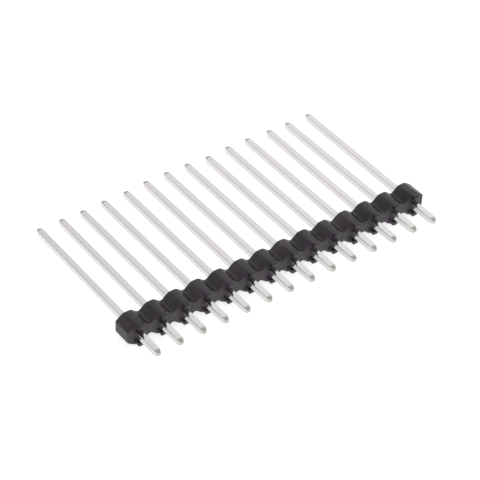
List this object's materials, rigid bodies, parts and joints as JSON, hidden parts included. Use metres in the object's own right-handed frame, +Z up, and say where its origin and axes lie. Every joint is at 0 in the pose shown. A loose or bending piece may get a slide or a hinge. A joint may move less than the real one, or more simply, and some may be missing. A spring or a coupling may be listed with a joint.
{
  "type": "pin header strip",
  "caption": "Straight single-row breakaway pin header: square plated posts pressed through a black moulded strip of octagonal units with standoff feet.",
  "frame": {"origin": "middle of the row at the circuit board's surface, where the standoff feet meet it, on the posts' centre plane", "axes": "+X along the row; +Y along the posts, from the solder tails to the mating ends; +Z up as the strip lies on its side"},
  "size_m": [0.0356, 0.0209, 0.0024],
  "materials": {
    "housing_plastic": "moulded black, satin",
    "post_plating": "bright tin plating on drawn wire"
  },
  "bodies": {
    "root": {"housing": "housing_plastic", "post_01": "post_plating", "post_02": "post_plating", "post_03": "post_plating", "post_04": "post_plating", "post_05": "post_plating", "post_06": "post_plating", "post_07": "post_plating", "post_08": "post_plating", "post_09": "post_plating", "post_10": "post_plating", "post_11": "post_plating", "post_12": "post_plating", "post_13": "post_plating", "post_14": "post_plating"}
  },
  "joints": []
}
